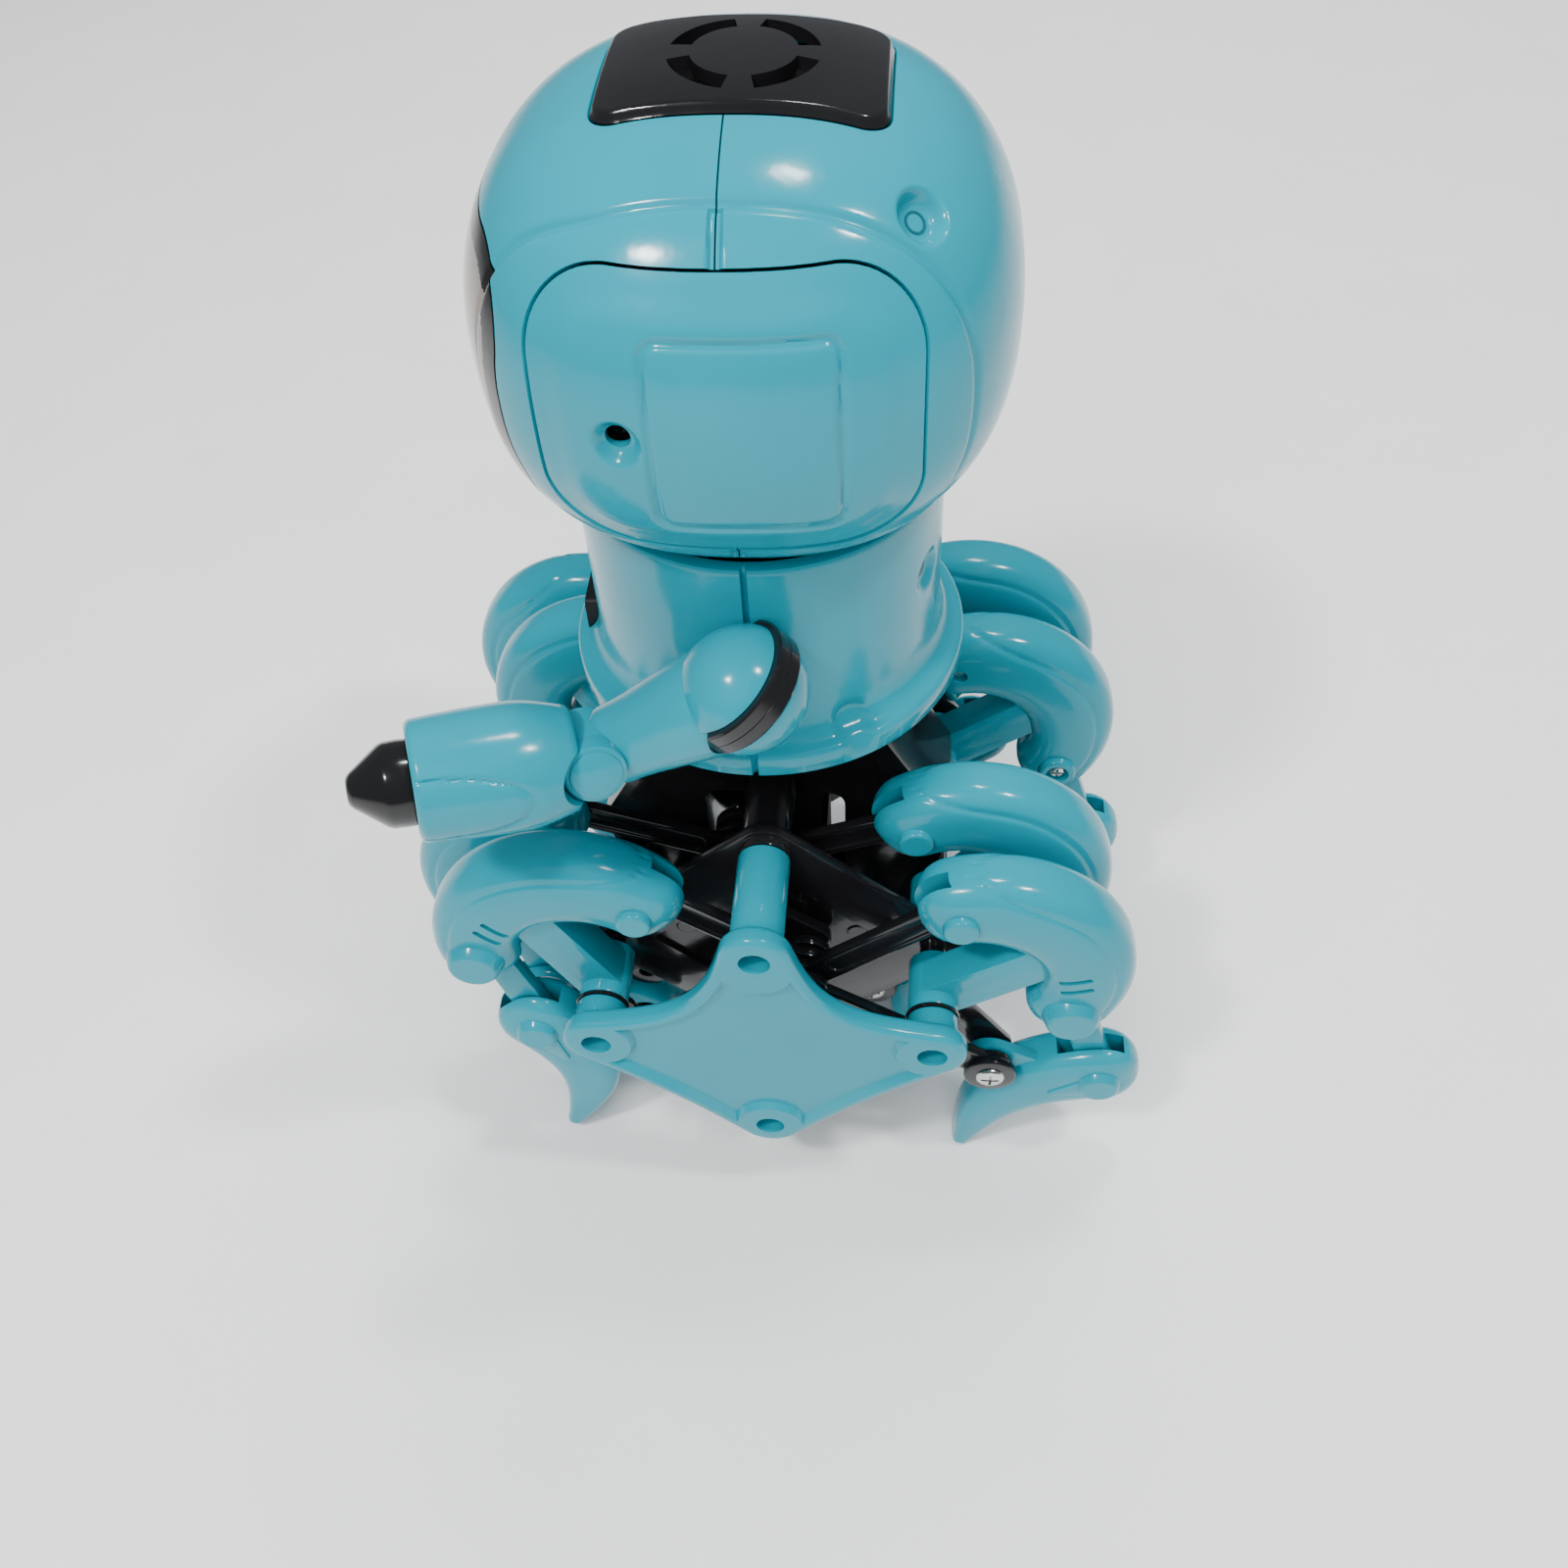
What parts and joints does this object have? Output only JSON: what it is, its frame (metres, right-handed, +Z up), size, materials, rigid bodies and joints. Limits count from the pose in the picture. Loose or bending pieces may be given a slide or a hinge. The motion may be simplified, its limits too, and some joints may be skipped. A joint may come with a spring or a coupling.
{
  "type": "walking robot toy",
  "caption": "Toy walking robot: round helmet head and turning torso with two jointed arms on a crank-driven linkage chassis with curved claw legs.",
  "frame": {"origin": "on the floor under the middle of the torso's turning axis and the crankshaft", "axes": "+Z up, -Y is the robot's front, +X is the robot's left side, the side the picture sees"},
  "size_m": [0.1192, 0.1379, 0.206],
  "materials": {
    "turquoise_abs": "glossy moulded ABS",
    "black_abs": "glossy black ABS",
    "smoke_visor": "smoky taupe gloss",
    "screw_steel": "plated steel",
    "circuit_board": "solder mask",
    "battery_cells": "wrapped cells in a tray"
  },
  "bodies": {
    "chassis": {"chassis_frame": "black_abs", "side_cover_left": "turquoise_abs", "side_cover_right": "turquoise_abs", "walk_motor": "black_abs"},
    "crank": {"crankshaft": "black_abs"},
    "torso": {"torso_front": "turquoise_abs", "torso_back": "turquoise_abs", "head_front": "turquoise_abs", "head_back": "turquoise_abs", "face_visor": "smoke_visor", "speaker_grille": "black_abs", "speaker": "black_abs", "battery_door_left": "turquoise_abs", "battery_door_right": "turquoise_abs", "battery_pack_left": "battery_cells", "battery_pack_right": "battery_cells", "circuit_board": "circuit_board", "waist_motor": "black_abs"},
    "upper_arm_left": {"shoulder_left": "turquoise_abs", "shoulder_band_left": "black_abs"},
    "forearm_left": {"forearm_left": "turquoise_abs", "forearm_nozzle_left": "black_abs"},
    "upper_arm_right": {"shoulder_right": "turquoise_abs", "shoulder_band_right": "black_abs"},
    "forearm_right": {"forearm_right": "turquoise_abs", "forearm_nozzle_right": "black_abs"},
    "thigh_left_outer_front": {"thigh_left_outer_front": "turquoise_abs"},
    "upper_rod_left_outer_front": {"upper_rod_left_outer_front": "black_abs"},
    "lower_rod_left_outer_front": {"lower_rod_left_outer_front": "black_abs"},
    "foot_left_outer_front": {"foot_left_outer_front": "turquoise_abs"},
    "thigh_left_outer_rear": {"thigh_left_outer_rear": "turquoise_abs"},
    "upper_rod_left_outer_rear": {"upper_rod_left_outer_rear": "black_abs"},
    "lower_rod_left_outer_rear": {"lower_rod_left_outer_rear": "black_abs"},
    "foot_left_outer_rear": {"foot_left_outer_rear": "turquoise_abs"},
    "thigh_left_inner_front": {"thigh_left_inner_front": "turquoise_abs"},
    "upper_rod_left_inner_front": {"upper_rod_left_inner_front": "black_abs"},
    "lower_rod_left_inner_front": {"lower_rod_left_inner_front": "black_abs"},
    "foot_left_inner_front": {"foot_left_inner_front": "turquoise_abs"},
    "thigh_left_inner_rear": {"thigh_left_inner_rear": "turquoise_abs"},
    "upper_rod_left_inner_rear": {"upper_rod_left_inner_rear": "black_abs"},
    "lower_rod_left_inner_rear": {"lower_rod_left_inner_rear": "black_abs"},
    "foot_left_inner_rear": {"foot_left_inner_rear": "turquoise_abs"},
    "thigh_right_outer_front": {"thigh_right_outer_front": "turquoise_abs"},
    "upper_rod_right_outer_front": {"upper_rod_right_outer_front": "black_abs"},
    "lower_rod_right_outer_front": {"lower_rod_right_outer_front": "black_abs"},
    "foot_right_outer_front": {"foot_right_outer_front": "turquoise_abs"},
    "thigh_right_outer_rear": {"thigh_right_outer_rear": "turquoise_abs"},
    "upper_rod_right_outer_rear": {"upper_rod_right_outer_rear": "black_abs"},
    "lower_rod_right_outer_rear": {"lower_rod_right_outer_rear": "black_abs"},
    "foot_right_outer_rear": {"foot_right_outer_rear": "turquoise_abs"},
    "thigh_right_inner_front": {"thigh_right_inner_front": "turquoise_abs"},
    "upper_rod_right_inner_front": {"upper_rod_right_inner_front": "black_abs"},
    "lower_rod_right_inner_front": {"lower_rod_right_inner_front": "black_abs"},
    "foot_right_inner_front": {"foot_right_inner_front": "turquoise_abs"},
    "thigh_right_inner_rear": {"thigh_right_inner_rear": "turquoise_abs"},
    "upper_rod_right_inner_rear": {"upper_rod_right_inner_rear": "black_abs"},
    "lower_rod_right_inner_rear": {"lower_rod_right_inner_rear": "black_abs"},
    "foot_right_inner_rear": {"foot_right_inner_rear": "turquoise_abs"}
  },
  "joints": [
    {"name": "waist_turn", "type": "hinge", "parent": "chassis", "child": "torso", "pos_m": [0, -0.00156, 0.1055], "axis": [0, 0, 1], "continuous": true},
    {"name": "walk_crank", "type": "hinge", "parent": "chassis", "child": "crank", "pos_m": [0, -0.00156, 0.06309], "axis": [1, 0, 0], "range_deg": [-20, 20]},
    {"name": "shoulder_left_swing", "type": "hinge", "parent": "torso", "child": "upper_arm_left", "pos_m": [0.0376, -0.00156, 0.1302], "axis": [1, 0, 0], "range_deg": [-60, 20]},
    {"name": "elbow_left_bend", "type": "hinge", "parent": "upper_arm_left", "child": "forearm_left", "pos_m": [0.0418, -0.02556, 0.1196], "axis": [0.8958, 0.3593, 0.2617], "range_deg": [-25, 25]},
    {"name": "shoulder_right_swing", "type": "hinge", "parent": "torso", "child": "upper_arm_right", "pos_m": [-0.0376, -0.00156, 0.1302], "axis": [1, 0, 0], "range_deg": [-60, 20]},
    {"name": "elbow_right_bend", "type": "hinge", "parent": "upper_arm_right", "child": "forearm_right", "pos_m": [-0.0418, -0.02556, 0.1196], "axis": [0.8958, -0.3593, -0.2617], "range_deg": [-25, 25]},
    {"name": "thigh_left_outer_front_swing", "type": "hinge", "parent": "chassis", "child": "thigh_left_outer_front", "pos_m": [0.0387, -0.0317, 0.05402], "axis": [1, 0, 0], "range_deg": [-0.57, 0.57]},
    {"name": "upper_rod_left_outer_front_turn", "type": "hinge", "parent": "crank", "child": "upper_rod_left_outer_front", "pos_m": [0.0387, 0.00522, 0.05826], "axis": [1, 0, 0], "range_deg": [-16.79, 16.79]},
    {"name": "lower_rod_left_outer_front_turn", "type": "hinge", "parent": "crank", "child": "lower_rod_left_outer_front", "pos_m": [0.0387, 0.00522, 0.05826], "axis": [1, 0, 0], "range_deg": [-18.5, 18.5]},
    {"name": "foot_left_outer_front_swing", "type": "hinge", "parent": "lower_rod_left_outer_front", "child": "foot_left_outer_front", "pos_m": [0.0387, -0.0276, 0.0306], "axis": [1, 0, 0], "range_deg": [-4.6, 4.6]},
    {"name": "thigh_left_outer_rear_swing", "type": "hinge", "parent": "chassis", "child": "thigh_left_outer_rear", "pos_m": [0.0387, 0.02858, 0.05402], "axis": [1, 0, 0], "range_deg": [-9.83, 9.83]},
    {"name": "upper_rod_left_outer_rear_turn", "type": "hinge", "parent": "crank", "child": "upper_rod_left_outer_rear", "pos_m": [0.0387, 0.00522, 0.05826], "axis": [1, 0, 0], "range_deg": [-28.64, 28.64]},
    {"name": "lower_rod_left_outer_rear_turn", "type": "hinge", "parent": "crank", "child": "lower_rod_left_outer_rear", "pos_m": [0.0387, 0.00522, 0.05826], "axis": [1, 0, 0], "range_deg": [-26.13, 26.13]},
    {"name": "foot_left_outer_rear_swing", "type": "hinge", "parent": "lower_rod_left_outer_rear", "child": "foot_left_outer_rear", "pos_m": [0.0387, 0.04007, 0.0332], "axis": [1, 0, 0], "range_deg": [-8.11, 8.11]},
    {"name": "thigh_left_inner_front_swing", "type": "hinge", "parent": "chassis", "child": "thigh_left_inner_front", "pos_m": [0.0202, -0.0317, 0.05402], "axis": [1, 0, 0], "range_deg": [-2.78, 2.78]},
    {"name": "upper_rod_left_inner_front_turn", "type": "hinge", "parent": "crank", "child": "upper_rod_left_inner_front", "pos_m": [0.0202, -0.00834, 0.06792], "axis": [1, 0, 0], "range_deg": [-25.48, 25.48]},
    {"name": "lower_rod_left_inner_front_turn", "type": "hinge", "parent": "crank", "child": "lower_rod_left_inner_front", "pos_m": [0.0202, -0.00834, 0.06792], "axis": [1, 0, 0], "range_deg": [-27.34, 27.34]},
    {"name": "foot_left_inner_front_swing", "type": "hinge", "parent": "lower_rod_left_inner_front", "child": "foot_left_inner_front", "pos_m": [0.0202, -0.02914, 0.03038], "axis": [1, 0, 0], "range_deg": [-10.86, 10.86]},
    {"name": "thigh_left_inner_rear_swing", "type": "hinge", "parent": "chassis", "child": "thigh_left_inner_rear", "pos_m": [0.0202, 0.02858, 0.05402], "axis": [1, 0, 0], "range_deg": [-5.98, 5.98]},
    {"name": "upper_rod_left_inner_rear_turn", "type": "hinge", "parent": "crank", "child": "upper_rod_left_inner_rear", "pos_m": [0.0202, -0.00834, 0.06792], "axis": [1, 0, 0], "range_deg": [-18.13, 18.13]},
    {"name": "lower_rod_left_inner_rear_turn", "type": "hinge", "parent": "crank", "child": "lower_rod_left_inner_rear", "pos_m": [0.0202, -0.00834, 0.06792], "axis": [1, 0, 0], "range_deg": [-17.32, 17.32]},
    {"name": "foot_left_inner_rear_swing", "type": "hinge", "parent": "lower_rod_left_inner_rear", "child": "foot_left_inner_rear", "pos_m": [0.0202, 0.01697, 0.03327], "axis": [1, 0, 0], "range_deg": [-1.91, 1.91]},
    {"name": "thigh_right_outer_front_swing", "type": "hinge", "parent": "chassis", "child": "thigh_right_outer_front", "pos_m": [-0.0387, -0.0317, 0.05402], "axis": [1, 0, 0], "range_deg": [-2.78, 2.78]},
    {"name": "upper_rod_right_outer_front_turn", "type": "hinge", "parent": "crank", "child": "upper_rod_right_outer_front", "pos_m": [-0.0387, -0.00834, 0.06792], "axis": [1, 0, 0], "range_deg": [-25.48, 25.48]},
    {"name": "lower_rod_right_outer_front_turn", "type": "hinge", "parent": "crank", "child": "lower_rod_right_outer_front", "pos_m": [-0.0387, -0.00834, 0.06792], "axis": [1, 0, 0], "range_deg": [-27.34, 27.34]},
    {"name": "foot_right_outer_front_swing", "type": "hinge", "parent": "lower_rod_right_outer_front", "child": "foot_right_outer_front", "pos_m": [-0.0387, -0.02914, 0.03038], "axis": [1, 0, 0], "range_deg": [-10.86, 10.86]},
    {"name": "thigh_right_outer_rear_swing", "type": "hinge", "parent": "chassis", "child": "thigh_right_outer_rear", "pos_m": [-0.0387, 0.02858, 0.05402], "axis": [1, 0, 0], "range_deg": [-5.98, 5.98]},
    {"name": "upper_rod_right_outer_rear_turn", "type": "hinge", "parent": "crank", "child": "upper_rod_right_outer_rear", "pos_m": [-0.0387, -0.00834, 0.06792], "axis": [1, 0, 0], "range_deg": [-18.13, 18.13]},
    {"name": "lower_rod_right_outer_rear_turn", "type": "hinge", "parent": "crank", "child": "lower_rod_right_outer_rear", "pos_m": [-0.0387, -0.00834, 0.06792], "axis": [1, 0, 0], "range_deg": [-17.32, 17.32]},
    {"name": "foot_right_outer_rear_swing", "type": "hinge", "parent": "lower_rod_right_outer_rear", "child": "foot_right_outer_rear", "pos_m": [-0.0387, 0.01697, 0.03327], "axis": [1, 0, 0], "range_deg": [-1.91, 1.91]},
    {"name": "thigh_right_inner_front_swing", "type": "hinge", "parent": "chassis", "child": "thigh_right_inner_front", "pos_m": [-0.0202, -0.0317, 0.05402], "axis": [1, 0, 0], "range_deg": [-0.57, 0.57]},
    {"name": "upper_rod_right_inner_front_turn", "type": "hinge", "parent": "crank", "child": "upper_rod_right_inner_front", "pos_m": [-0.0202, 0.00522, 0.05826], "axis": [1, 0, 0], "range_deg": [-16.79, 16.79]},
    {"name": "lower_rod_right_inner_front_turn", "type": "hinge", "parent": "crank", "child": "lower_rod_right_inner_front", "pos_m": [-0.0202, 0.00522, 0.05826], "axis": [1, 0, 0], "range_deg": [-18.5, 18.5]},
    {"name": "foot_right_inner_front_swing", "type": "hinge", "parent": "lower_rod_right_inner_front", "child": "foot_right_inner_front", "pos_m": [-0.0202, -0.0276, 0.0306], "axis": [1, 0, 0], "range_deg": [-4.6, 4.6]},
    {"name": "thigh_right_inner_rear_swing", "type": "hinge", "parent": "chassis", "child": "thigh_right_inner_rear", "pos_m": [-0.0202, 0.02858, 0.05402], "axis": [1, 0, 0], "range_deg": [-9.83, 9.83]},
    {"name": "upper_rod_right_inner_rear_turn", "type": "hinge", "parent": "crank", "child": "upper_rod_right_inner_rear", "pos_m": [-0.0202, 0.00522, 0.05826], "axis": [1, 0, 0], "range_deg": [-28.64, 28.64]},
    {"name": "lower_rod_right_inner_rear_turn", "type": "hinge", "parent": "crank", "child": "lower_rod_right_inner_rear", "pos_m": [-0.0202, 0.00522, 0.05826], "axis": [1, 0, 0], "range_deg": [-26.13, 26.13]},
    {"name": "foot_right_inner_rear_swing", "type": "hinge", "parent": "lower_rod_right_inner_rear", "child": "foot_right_inner_rear", "pos_m": [-0.0202, 0.04007, 0.0332], "axis": [1, 0, 0], "range_deg": [-8.11, 8.11]}
  ],
  "couplings": [
    {"joint": "thigh_left_outer_front_swing", "follows": "walk_crank", "ratio": 0.0126},
    {"joint": "upper_rod_left_outer_front_turn", "follows": "walk_crank", "ratio": -0.76327},
    {"joint": "lower_rod_left_outer_front_turn", "follows": "walk_crank", "ratio": -0.84239},
    {"joint": "foot_left_outer_front_swing", "follows": "walk_crank", "ratio": -0.19897},
    {"joint": "thigh_left_outer_rear_swing", "follows": "walk_crank", "ratio": -0.44123},
    {"joint": "upper_rod_left_outer_rear_turn", "follows": "walk_crank", "ratio": -1.312},
    {"joint": "lower_rod_left_outer_rear_turn", "follows": "walk_crank", "ratio": -1.1958},
    {"joint": "foot_left_outer_rear_swing", "follows": "walk_crank", "ratio": -0.36151},
    {"joint": "thigh_left_inner_front_swing", "follows": "walk_crank", "ratio": 0.11485},
    {"joint": "upper_rod_left_inner_front_turn", "follows": "walk_crank", "ratio": -1.1659},
    {"joint": "lower_rod_left_inner_front_turn", "follows": "walk_crank", "ratio": -1.2517},
    {"joint": "foot_left_inner_front_swing", "follows": "walk_crank", "ratio": 0.48881},
    {"joint": "thigh_left_inner_rear_swing", "follows": "walk_crank", "ratio": 0.26303},
    {"joint": "upper_rod_left_inner_rear_turn", "follows": "walk_crank", "ratio": -0.82554},
    {"joint": "lower_rod_left_inner_rear_turn", "follows": "walk_crank", "ratio": -0.78776},
    {"joint": "foot_left_inner_rear_swing", "follows": "walk_crank", "ratio": 0.07453},
    {"joint": "thigh_right_outer_front_swing", "follows": "walk_crank", "ratio": 0.11485},
    {"joint": "upper_rod_right_outer_front_turn", "follows": "walk_crank", "ratio": -1.1659},
    {"joint": "lower_rod_right_outer_front_turn", "follows": "walk_crank", "ratio": -1.2517},
    {"joint": "foot_right_outer_front_swing", "follows": "walk_crank", "ratio": 0.48881},
    {"joint": "thigh_right_outer_rear_swing", "follows": "walk_crank", "ratio": 0.26303},
    {"joint": "upper_rod_right_outer_rear_turn", "follows": "walk_crank", "ratio": -0.82554},
    {"joint": "lower_rod_right_outer_rear_turn", "follows": "walk_crank", "ratio": -0.78776},
    {"joint": "foot_right_outer_rear_swing", "follows": "walk_crank", "ratio": 0.07453},
    {"joint": "thigh_right_inner_front_swing", "follows": "walk_crank", "ratio": 0.0126},
    {"joint": "upper_rod_right_inner_front_turn", "follows": "walk_crank", "ratio": -0.76327},
    {"joint": "lower_rod_right_inner_front_turn", "follows": "walk_crank", "ratio": -0.84239},
    {"joint": "foot_right_inner_front_swing", "follows": "walk_crank", "ratio": -0.19897},
    {"joint": "thigh_right_inner_rear_swing", "follows": "walk_crank", "ratio": -0.44123},
    {"joint": "upper_rod_right_inner_rear_turn", "follows": "walk_crank", "ratio": -1.312},
    {"joint": "lower_rod_right_inner_rear_turn", "follows": "walk_crank", "ratio": -1.1958},
    {"joint": "foot_right_inner_rear_swing", "follows": "walk_crank", "ratio": -0.36151}
  ]
}
